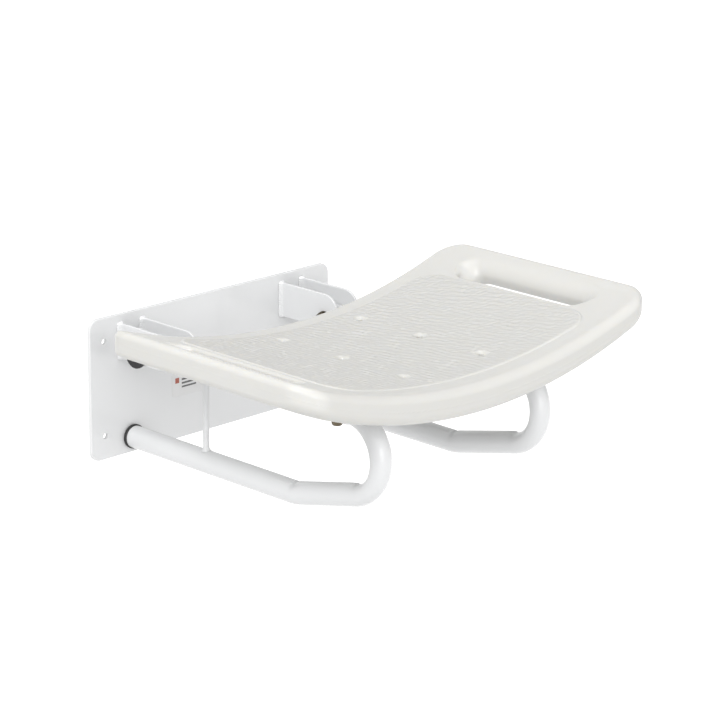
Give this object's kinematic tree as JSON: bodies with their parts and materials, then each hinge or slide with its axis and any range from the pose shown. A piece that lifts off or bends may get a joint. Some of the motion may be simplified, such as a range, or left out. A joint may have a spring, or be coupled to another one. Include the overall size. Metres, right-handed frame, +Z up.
{
  "type": "wall-mounted folding shower seat",
  "caption": "Wall-mounted folding shower seat: a cambered plastic board on tube loops that hinge between cheeks on a wall plate.",
  "frame": {"origin": "on the wall, at the centre of the wall plate's back face", "axes": "+X along the wall, +Y into the wall, so the seat stands out towards -Y, +Z up"},
  "size_m": [0.523, 0.421, 0.1925],
  "materials": {
    "plate_paint": "white powder coat",
    "bracket_paint": "white powder coat",
    "tube_paint": "white powder coat, semi-gloss",
    "label_vinyl": "printed vinyl with plain bars, no text",
    "buffer_rubber": "black, smooth",
    "foot_rubber": "black, matt",
    "plug_plastic": "black polyethylene",
    "pivot_plating": "dark yellow zinc plating",
    "sleeve_steel": "bare steel",
    "bush_nylon": "natural nylon",
    "seat_plastic": "blow-moulded polyethylene, fine grain",
    "insert_brass": "knurled brass",
    "seat_bolt_plating": "dark yellow zinc plating"
  },
  "bodies": {
    "wall_bracket": {"wall_plate": "plate_paint", "information_label": "label_vinyl", "left_outer_cheek": "bracket_paint", "left_inner_cheek": "bracket_paint", "left_buffer": "buffer_rubber", "left_pivot_bolt": "pivot_plating", "left_pivot_nut": "pivot_plating", "left_pivot_washers": "pivot_plating", "right_outer_cheek": "bracket_paint", "right_inner_cheek": "bracket_paint", "right_buffer": "buffer_rubber", "right_pivot_bolt": "pivot_plating", "right_pivot_nut": "pivot_plating", "right_pivot_washers": "pivot_plating"},
    "seat_frame": {"left_pivot_sleeve": "sleeve_steel", "left_pivot_bushes": "bush_nylon", "left_tube_loop": "tube_paint", "left_brace_rod": "tube_paint", "left_wall_foot": "foot_rubber", "left_tube_plug": "plug_plastic", "right_pivot_sleeve": "sleeve_steel", "right_pivot_bushes": "bush_nylon", "right_tube_loop": "tube_paint", "right_brace_rod": "tube_paint", "right_wall_foot": "foot_rubber", "right_tube_plug": "plug_plastic", "seat_board": "seat_plastic", "seat_inserts": "insert_brass", "seat_front_bolts": "seat_bolt_plating", "seat_front_washers": "seat_bolt_plating", "seat_rear_bolts": "seat_bolt_plating"}
  },
  "joints": [
    {"name": "seat_fold", "type": "hinge", "parent": "wall_bracket", "child": "seat_frame", "pos_m": [0, -0.075, 0.043], "axis": [-1, 0, 0], "range_deg": [0, 90]}
  ]
}
